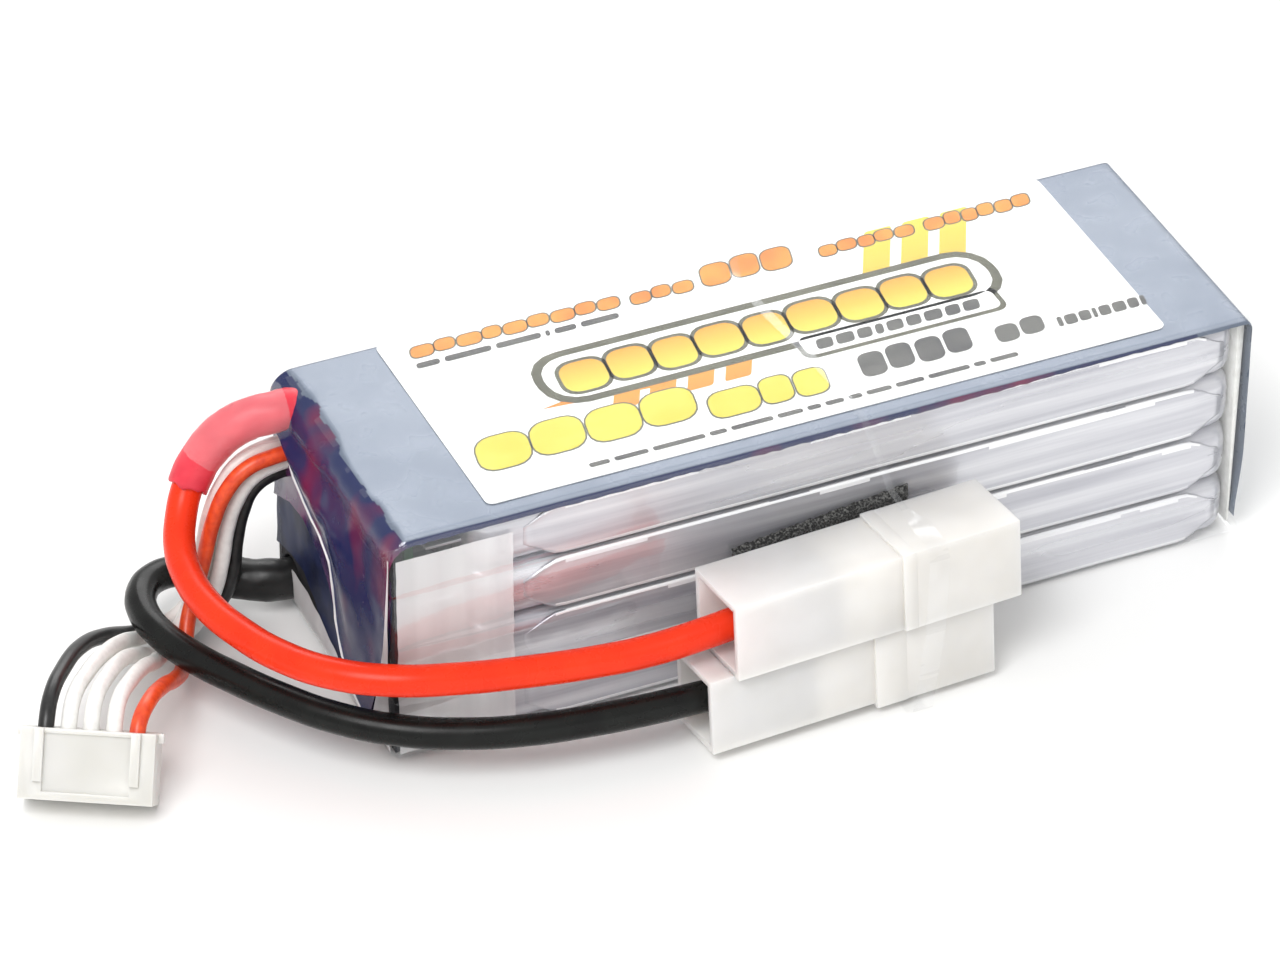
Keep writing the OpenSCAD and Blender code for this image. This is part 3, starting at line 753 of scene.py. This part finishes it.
def film_row(x):
    """One row across the film's top at x, with both long edges turned down."""
    side = FILM_HALF_W + 0.22
    shoulder = FILM_HALF_W + 0.14
    near_drop, far_drop = corner_drop(x, -FILM_HALF_W), corner_drop(x, FILM_HALF_W)
    turned = 0.62 - 0.3 * smoothstep((x - 12) / 24)
    torn = turned + 0.14 * wave(x * 0.9, 0, 4) + 0.14 * wave(x * 2.7, 0, 5)
    row = [(x, -side, FILM_TOP - 0.2 - (torn - 0.2) * k / 5 - near_drop) for k in range(5, 0, -1)]
    row.append((x, -shoulder, FILM_TOP - 0.08 - near_drop))
    for y in steps(-FILM_HALF_W, FILM_HALF_W, 120):
        row.append((x, y, FILM_TOP - corner_drop(x, y) + 0.05 * wave(x * 0.09, y * 0.12, 1)))
    row.append((x, shoulder, FILM_TOP - 0.16 - far_drop))
    row += [(x, side, FILM_TOP - 0.3 - (turned - 0.3) * k / 5 - far_drop) for k in range(1, 6)]
    return row


def rear_rows(flat_end):
    """The film's rows round the rear top edge and down the rear end, drawn in at the bottom."""
    rear_x = FILM_HIGH.x - 0.05
    rounding = 0.9
    bottom_z = 2.2
    rows = []
    for a in steps(15, 90, 5):
        along = rounding * math.sin(math.radians(a))
        down = rounding * (1 - math.cos(math.radians(a)))
        rows.append([(rear_x - rounding + along, y, z - down) for _, y, z in film_row(flat_end)])
    upright = rows[-1]
    for t in steps(0, 1, 12)[1:]:
        tuck = REAR_TUCK * smoothstep((t - 0.5) / 0.5) ** 2
        row = []
        for _, y, z in upright:
            x = rear_x - tuck + 0.06 * wave(y * 0.3, t * 3, 6)
            row.append((x, y * (1 - 0.02 * t), z + (bottom_z - z) * t))
        rows.append(row)
    return rows


def blue_film():
    """The film over the top and down the rear end, and the flaps that it makes at the front end."""
    bend_l = 5
    flat_end = 50.6
    rows = [film_row(FILM_FRONT + bend_l * t ** 2) for t in steps(0, 1, 30)]
    rows += [film_row(x) for x in steps(FILM_FRONT + bend_l + 0.3, flat_end, 110)]
    rows += rear_rows(flat_end)
    obj = grid("film_over_top", rows, BLUE)
    obj.data.materials.append(SHADED_BLUE_FILM)
    # Faces bent down over the front end and faces turned down the near side take the darker copy: painted
    # shade with a painted red reflection.
    for face in obj.data.polygons:
        x, y = face.center.x / MM, face.center.y / MM
        bent = x < -46 and face.normal.z < 0.94 + 0.05 * wave(x * 0.7, y * 0.35, 7)
        turned_down = y < -17.5 and x < 45
        face.material_index = 1 if bent or turned_down else 0
    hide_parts("blue_film")
    hang("film_lowest_flap", LOWEST_EDGE, FILM_FRONT + 0.35, 17.0, 4.0, DEEP)
    hang("film_inner_flap", INNER_EDGE, FILM_FRONT + 0.2, 17.1, 2.2, VIOLET)
    # The outer flap takes the same painted shade and painted red reflection.
    edge = hang("film_flap", FLAP_EDGE, FILM_FRONT, 17.3, 0.0, SHADED_BLUE_FILM, 1.0)
    film_bead("film_flap_bead", edge)


def along_edge(edge, s):
    """A point of a free edge, s from 0 to 1 along it."""
    lengths = [math.dist(a, b) for a, b in zip(edge, edge[1:])]
    left = s * sum(lengths)
    for (a, b), length in zip(zip(edge, edge[1:]), lengths):
        if left <= length:
            return a[0] + (b[0] - a[0]) * left / length, a[1] + (b[1] - a[1]) * left / length
        left -= length
    return edge[-1]


def hang(name, edge, x, far_y, below, mat, bulge=0.0):
    """A film that hangs down the front end at x, from below the top edge to a free edge. Returns that edge.

    It reaches from the near side to far_y, and bulges out towards the leads.
    """
    rows = []
    for s in steps(0, 1, 70):
        y_top = -FILM_HALF_W + (far_y + FILM_HALF_W) * s
        z_top = FILM_TOP - corner_drop(FILM_FRONT, y_top) - below
        y_end, z_end = along_edge(edge, s)
        row = []
        for t in steps(0, 1, 34):
            bow = (y_end - y_top) * (t ** 1.7 - t) * (1 - s) ** 2
            y = y_top + (y_end - y_top) * t + bow
            z = z_top + (z_end - z_top) * t
            lift = 0.22 * wave(y * 0.2, z * 0.16, 3) + 0.1 * wave(y * 0.5, z * 0.3, 8)
            lift -= bulge * math.sin(math.pi * min(t * 0.8 + 0.1, 0.85)) * smoothstep((y + 13) / 9)
            curl = 0.3 * t ** 6
            row.append((x + (lift - 0.12) * math.sin(math.pi * min(t, 0.85)) - curl, y, z))
        rows.append(row)
    grid(name, rows, mat)
    return [Vector(row[-1]) for row in rows]


def film_bead(name, path):
    """The rolled free edge of a film, painted near white as a highlight line."""
    rows = rings_along(path, lambda i, a: 0.16 + 0.05 * wave(i * 0.3, 0, 6), 8)
    return piece(name, mesh_of(joined(rows), capped_tube(rows)), BEAD_HIGHLIGHT)


def corner_fold():
    """A fold of the wrap that runs down the near corner of the front end and widens towards the bottom."""
    top_z, bottom_z = 27.6, 0.9
    rows = []
    for t in steps(0, 1, 40):
        z = top_z + (bottom_z - top_z) * t
        inner_y = -17.2 + 6.2 * t ** 1.7
        outer_y = -17.6 + 0.7 * math.sin(math.pi * t) + 0.9 * t ** 2
        row = []
        for s in steps(0, 1, 10):
            bulge = 0.25 * math.sin(math.pi * s) * math.sin(math.pi * min(t * 1.15, 1))
            x = FILM_FRONT - 0.12 - bulge + 0.05 * wave(z * 0.3, s * 2, 5)
            row.append((x, outer_y + (inner_y - outer_y) * s, z))
        rows.append(row)
    grid("wrap_corner_fold", rows, HEM)


def bottom_fold():
    """A fold of the wrap along the bottom of the front end, which rises towards the leads."""
    rows = []
    for t in steps(0, 1, 36):
        y = -9 + 21 * t
        low_z = 0.7 + 0.5 * math.sin(3 * t) + 1.2 * t ** 2
        high_z = 1.6 + 4.6 * smoothstep(t * 1.2) + 0.4 * wave(y * 0.5, 0, 2)
        row = []
        for s in steps(0, 1, 8):
            bulge = 0.3 * math.sin(math.pi * s)
            x = FILM_FRONT - 0.16 - bulge + 0.1 * wave(y * 0.4, s * 2, 4)
            row.append((x, y, low_z + (high_z - low_z) * s))
        rows.append(row)
    grid("wrap_bottom_fold", rows, HEM)


def wrap_collar():
    """The wrap bunched round the crimson sleeve where the red lead comes out."""
    path = smooth_route(POSITIVE_ROUTE)
    first = next(i for i, p in enumerate(path) if p.x < -52)
    last = next(i for i, p in enumerate(path) if p.x < -61)
    path = path[first:last + 1]
    n = len(path)

    def skin(i, a):
        bunched = 0.35 * wave(math.cos(a) * 1.3 + i * 0.05, math.sin(a) * 1.3, 4)
        return 2.75 + 0.5 * (1 - i / n) + bunched + 0.4 * smoothstep((i - n + 6) / 6) * wave(3 * a, 0, 2)

    grid("wrap_collar", rings_along(path, skin, 30), COLLAR_CLEAR, closed=True)


def front_pad():
    """The dark pad behind the films, with its top edge pressed round under them."""
    obj = softened("front_end_pad", FOAM, 0.15)
    low, high = box("front_end_pad")
    front_top, rear_top = 25.6, 28.2
    for v in obj.data.vertices:
        limit = front_top + (rear_top - front_top) * (v.co.x / MM - low.x) / (high.x - low.x)
        v.co.z = min(v.co.z, limit * MM)


def rear_pad():
    """The light pad behind the film at the closed end, drawn in towards the bottom with that film."""
    obj = softened("rear_end_pad", ADHESIVE, 0.12)
    low, high = box("rear_end_pad")
    for v in obj.data.vertices:
        if v.co.x / MM > (low.x + high.x) / 2:
            v.co.x -= REAR_TUCK * MM * 0.9 * (high.z - v.co.z / MM) / (high.z - low.z)


def wrap_section(x):
    """(y, z) points of the shrink wrap round the stack, drawn in a little between the cells."""
    high = box("shrink_wrap")[1]
    half_w = high.y - 0.03
    middle = (high.z + 0.03) / 2
    edge_r = 1.0
    tucks = [(box(f"cell_{i}")[1].z + box(f"cell_{i + 1}")[0].z) / 2 for i in range(1, CELLS)]
    points = []
    for y, z in rounded_ring(half_w, middle, edge_r, 56, 40, 5):
        up = middle + z
        if abs(y) > half_w - 0.3:
            tuck = sum(0.28 * math.exp(-((up - t) / 0.6) ** 2) for t in tucks)
            pull = 0.14 * wave(x * 0.08, up * 0.35, 2) + 0.06 * wave(x * 0.3, up * 0.9, 4)
            y = y - math.copysign(tuck + abs(pull), y)
        if up > high.z - 0.4:
            up -= corner_drop(x, y)
        points.append((y, up))
    return points


def end_ring(x, inset, shrink, seed):
    """The wrap's section at x, smaller by inset and then by a share, shrink, that varies round it."""
    high = box("shrink_wrap")[1]
    centre_z = high.z / 2
    row = []
    for k, (y, z) in enumerate(wrap_section(x)):
        s = 1 - inset / high.y - shrink * (1 + 0.35 * wave(k * 0.11, seed, 3))
        row.append((x, y * s, centre_z + (z - centre_z) * s))
    return row


def turned_in(end, sign, r, depth, seed):
    """Rings that go from the side over the end's rounded edge, of radius r, and in across the end."""
    rows = []
    for a in steps(0, 90, 6):
        inset = r * (1 - math.cos(math.radians(a)))
        rows.append(end_ring(end - sign * r * (1 - math.sin(math.radians(a))), inset, 0, seed))
    for t in steps(0, 1, 7)[1:]:
        crease = 0.12 * math.sin(9 * t)
        rows.append(end_ring(end - sign * (0.02 + abs(crease)), r, depth * t, seed))
    return rows


def shrink_wrap():
    """The clear wrap round the whole stack, open in the middle of both ends."""
    low, high = box("shrink_wrap")
    r = 1.1
    rows = turned_in(low.x, -1, r, 0.09, 1)[::-1]
    for x in steps(low.x + r + 0.5, high.x - r - 0.5, 120):
        rows.append([(x, y, z) for y, z in wrap_section(x)])
    rows += turned_in(high.x, 1, r, 0.24, 5)
    obj = grid("clear_wrap", rows, CLEAR, closed=True)
    obj.data.materials.append(CLEAR_TOP)
    for face in obj.data.polygons:
        over_label = face.normal.z > 0.9 and face.center.z > 29 * MM
        over_films = face.normal.x < -0.5
        face.material_index = 1 if over_label or over_films else 0
    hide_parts("shrink_wrap")


def side_tape():
    """The frosted tape on the near side at the front, a little slack."""
    low, high = box("side_tape")
    rows = []
    for x in steps(low.x, high.x, 40):
        row = []
        for z in steps(low.z, high.z, 60):
            sag = 0.1 * wave(x * 0.25, z * 0.12, 2) + 0.05 * wave(x * 1.4, z * 0.05, 3)
            row.append((x + 0.12 * wave(0, z * 0.5, 5), low.y + 0.06 + abs(sag), z))
        rows.append(row)
    obj = grid("frosted_tape", rows, FROSTED)
    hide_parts("side_tape")


# ---------------- label


def rounded_shape(x0, x1, y0, y1, r, lean=0.0):
    """Outline of a rounded bar; lean slants it."""
    points = []
    corners = [(x1 - r, y0 + r, -90), (x1 - r, y1 - r, 0), (x0 + r, y1 - r, 90), (x0 + r, y0 + r, 180)]
    for cx, cy, start in corners:
        for i in range(5):
            a = math.radians(start + 22.5 * i)
            y = cy + r * math.sin(a)
            points.append((cx + r * math.cos(a) + lean * (y - y0), y))
    return points


def printed(name, shapes, height, mat):
    """Flat printed shapes at a height over the label."""
    top = box("label")[1].z
    verts, faces = [], []
    for shape in shapes:
        start = len(verts)
        verts += [(x, y, top + height) for x, y in shape]
        faces.append(tuple(range(start, len(verts))))
    return piece(name, mesh_of(verts, faces, outward=False), mat, smooth=False)


def label():
    """The label's sheet, and its print on top."""
    low, high = box("label")
    outline = rounded_shape(low.x, high.x, low.y, high.y, 0.9)
    rows = [[(x, y, z) for x, y in outline] for z in (low.z + 0.02, high.z - 0.02)]
    sheet = piece("label_sheet", mesh_of(joined(rows), capped_tube(rows)), LABEL, smooth=False)
    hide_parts("label")
    print_label()


def bars(x, y, height, widths, gap, r, lean=0.0):
    """A row of rounded bars, where words would stand."""
    shapes = []
    for w in widths:
        shapes.append(rounded_shape(x, x + w, y, y + height, min(r, height / 2.1, w / 2.1), lean))
        x += w + gap
    return shapes


def grown(shapes, by):
    """The same shapes, a little larger all round."""
    out = []
    for shape in shapes:
        cx = sum(x for x, _ in shape) / len(shape)
        cy = sum(y for _, y in shape) / len(shape)
        half_x = max(abs(x - cx) for x, _ in shape)
        half_y = max(abs(y - cy) for _, y in shape)
        out.append([(cx + (x - cx) * (half_x + by) / half_x, cy + (y - cy) * (half_y + by) / half_y)
                    for x, y in shape])
    return out


def beads(x, y, height, widths, gap, lean=0.25):
    """A row of chunky lozenges of uneven width, where heavy lettering would stand."""
    shapes = []
    for k, w in enumerate(widths):
        low = y + 0.25 * (k % 2)
        shapes.append(rounded_shape(x, x + w, low, low + height - 0.25, min(height, w) * 0.34, lean))
        x += w + gap
    return shapes


def print_label():
    """Plain shapes in the places and colours of a printed label; there are no words or marks."""
    heading = beads(-36.8, 13.4, 2.3, [2.7, 2.4, 2.9, 2.2, 2.8, 2.5, 2.8, 2.4, 2.6], 0.25)
    heading += beads(-10.2, 13.0, 2.3, [2.4, 2.2, 2.4], 0.3)
    heading += beads(-1.4, 12.9, 4.2, [3.5, 3.3, 3.6], 0.35)
    heading += beads(13.2, 13.0, 2.2, [2.1, 2.3, 1.9, 2.2, 2.3], 0.25)
    heading += beads(26.4, 12.9, 2.4, [2.4, 1.9, 1.8, 1.9, 2.0, 2.1], 0.25)
    stripes = [rounded_shape(x, x + 3.4, 6.8, 15.6, 0.4, 0.5) for x in (15.4, 20.2, 25)]
    stripes += [rounded_shape(x, x + 3.2, -4.6, 2.2, 0.4, 0.5) for x in (-20.4, -16, -11.4, -6.8)]
    flick = [[(-27.4, -1.2), (-12, -2.6), (-12, 0.4), (-20, 0.2)]]
    ring = [rounded_shape(-26.2, 30.4, -2.0, 8.2, 4.4)]
    gap = [rounded_shape(-25.1, 29.3, -0.9, 7.1, 3.5)]
    lettered = beads(-23.6, 0.1, 5.7, [5.4, 5.0, 4.8, 5.4, 5.0, 5.6, 5.2, 5.0, 5.2], 0.45, 0.12)
    tab = [rounded_shape(3.2, 28.4, -4.6, 0.2, 1.3)]
    tab_gap = [rounded_shape(3.8, 27.8, -4.0, -0.4, 1.0)]
    tab_bars = bars(5.2, -3.3, 1.9, [2, 2.2, 1.8, 1, 2, 1.8, 2.2, 1.8, 2], 0.42, 0.5, 0.25)
    numbers = beads(-38.0, -9.6, 6.2, [6.2, 6.2, 6.3, 6.3], 0.35, 0.2)
    numbers += beads(-10.9, -10.8, 4.9, [6.0, 3.7, 3.8], 0.35, 0.2)
    dark = beads(7.6, -10.3, 4.6, [3.1, 3.1, 3.2, 3.1], 0.4, 0.2)
    dark += beads(24.2, -10.4, 3.4, [2.8, 2.8], 0.4, 0.2)
    small = bars(31.8, -10.2, 1.8, [0.6, 1.5, 1.4, 0.5, 1.4, 1.6, 1.3, 0.6], 0.3, 0.4, 0.2)
    small += bars(-37, 11.4, 1.0, [2.8, 5.6, 5.4, 0.5, 2.6, 4.6], 0.6, 0.4, 0.2)
    fine = bars(-26.8, -13.3, 0.75, [2.4, 4, 6.2, 2, 5, 3, 1.6, 2.2, 1.6, 3, 3.4, 5, 1.4, 3.4], 0.6, 0.3)
    printed("print_stripes", stripes, 0.004, STRIPE_INK)
    printed("print_flick", flick, 0.006, ORANGE_INK)
    printed("print_heading_edge", grown(heading, 0.18), 0.008, OLIVE_INK)
    printed("print_heading", heading, 0.014, ORANGE_INK)
    printed("print_plaque_ring", ring + tab, 0.018, OLIVE_INK)
    printed("print_plaque_gap", gap + tab_gap, 0.024, LABEL)
    printed("print_plaque_edge", grown(lettered, 0.5) + grown(numbers, 0.2), 0.03, OLIVE_INK)
    printed("print_plaque", lettered, 0.036, PLAQUE_INK)
    printed("print_numbers", numbers, 0.036, YELLOW_INK)
    printed("print_small", small + dark + fine + tab_bars, 0.03, GREY_INK)


# ---------------- band and patch


def retaining_band():
    """The clear band: round the pack, and on the near side out over the plug.

    It goes through stretches of (shift along the pack, y, z) points, and it is drawn narrow over the label.
    """
    low, high = box("retaining_band")
    centre = (low.x + high.x) / 2
    half_band = 1.22
    side, top, under = 18.1, 30.1, 0.12
    far_side = [(0, side, z) for z in (under + 0.02, 6, 14, 22, 29.2)]
    over_label = [(0, side - 0.7, top), (-1.8, 12, top), (-1.2, 4, top), (-0.4, -4, top), (0, -12, top)]
    down_to_plug = [(0, -side + 0.6, top), (0.6, -19.4, 27.4), (1.6, -21.4, 22.6), (2.4, -23.2, 21)]
    over_plug = [(2.6, -27, 21.2), (2.5, -31.2, 21.35), (2.3, -32.6, 20.4), (1.8, -33.4, 16.2),
                 (1.2, -34.2, 11.4), (0.6, -34.1, 6), (0.2, -33.7, 1), (0, -32.6, under + 0.02)]
    underneath = [(0, y, under) for y in (-26, -18, -8, 4, 12, side - 0.8)] + far_side[:1]
    stretches = [(far_side, 1), (over_label, 0.5), (down_to_plug, 0.35), (over_plug, 1), (underneath, 1)]
    rows = []
    for points, share in stretches:
        for shift, y, z in points:
            row = []
            for t in steps(-1, 1, 6):
                cup = 0.05 * (1 - t * t)
                row.append((centre + shift + half_band * share * t, y + math.copysign(cup, y), z + cup))
            rows.append(row)
    obj = grid("clear_band", rows, BAND_CLEAR)
    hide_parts("retaining_band")


def patch():
    """A worn hook-and-loop patch with a fuzzy face and a top edge that slopes."""
    low, high = box("hook_and_loop_patch")
    front_top = 17.4
    pile_height = 0.75
    rows = []
    for s in steps(0, 1, 96):
        x = low.x + (high.x - low.x) * s
        top = front_top + (high.z - front_top) * s
        row = []
        for z in steps(low.z, top, 56):
            rim = min(x - low.x, high.x - x, z - low.z, top - z)
            lift = pile_height * smoothstep(rim / 0.5)
            fuzz = 0.22 * wave(x * 2.4, z * 2.4, 1) + 0.16 * wave(x * 5.5, z * 5.5, 2)
            ragged = 0.25 * wave(x * 1.3, z * 1.3, 6) if rim < 0.05 else 0
            row.append((x + ragged, high.y + 0.02 - lift * (1 + fuzz), z + ragged))
        rows.append(row)
    obj = grid("loop_patch", rows, PILE)
    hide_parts("hook_and_loop_patch")


# ---------------- set


def area_light(name, place, size, power):
    """A softbox at place, in metres, that faces the pack."""
    data = bpy.data.lights.new(name, "AREA")
    data.shape = "RECTANGLE"
    data.size, data.size_y = size
    data.energy = power
    obj = bpy.data.objects.new(name, data)
    obj.location = place
    obj.rotation_euler = (Vector(place) - Vector((0, 0, 0.01))).to_track_quat("Z", "Y").to_euler()
    bpy.context.scene.collection.objects.link(obj)


def studio():
    """A white world, three softboxes and a pale floor; places and sizes are in metres."""
    scene = bpy.context.scene
    world = bpy.data.worlds.new("studio")
    world.use_nodes = True
    world.node_tree.nodes["Background"].inputs["Color"].default_value = (1, 1, 1, 1)
    world.node_tree.nodes["Background"].inputs["Strength"].default_value = 0.75
    scene.world = world
    scene.view_settings.view_transform = "Standard"
    area_light("back softbox", (0.22, 0.50, 0.42), (0.55, 0.36), 2.0)
    area_light("key softbox", (-0.35, -0.30, 0.60), (0.35, 0.35), 3.2)
    area_light("front fill", (-0.05, -0.65, 0.16), (0.6, 0.3), 0.3)
    mesh = bpy.data.meshes.new("floor")
    half = 1.6
    corners = [(-half, -half, 0), (half, -half, 0), (half, half, 0), (-half, half, 0)]
    mesh.from_pydata(corners, [], [(0, 1, 2, 3)])
    mesh.materials.append(material("floor", (0.9, 0.9, 0.89), 0.9))
    floor = bpy.data.objects.new("floor", mesh)
    scene.collection.objects.link(floor)


camera()
cords()
for number in range(1, CELLS + 1):
    cell(number)
front_pad()
rear_pad()
blue_film()
corner_fold()
bottom_fold()
wrap_collar()
shrink_wrap()
side_tape()
label()
retaining_band()
patch()
PAINTED = {
    "cell_adhesive_pads": ADHESIVE,
    "positive_tabs": ALUMINIUM,
    "negative_tabs": NICKEL,
    "tab_board": BOARD,
    "solder_joints": SOLDER,
    "board_insulator": PAPER,
    "balance_plug_contacts": BRASS,
    "positive_socket": BRASS,
    "negative_socket": BRASS,
}
for node, mat in PAINTED.items():
    paint(node, mat)
studio()
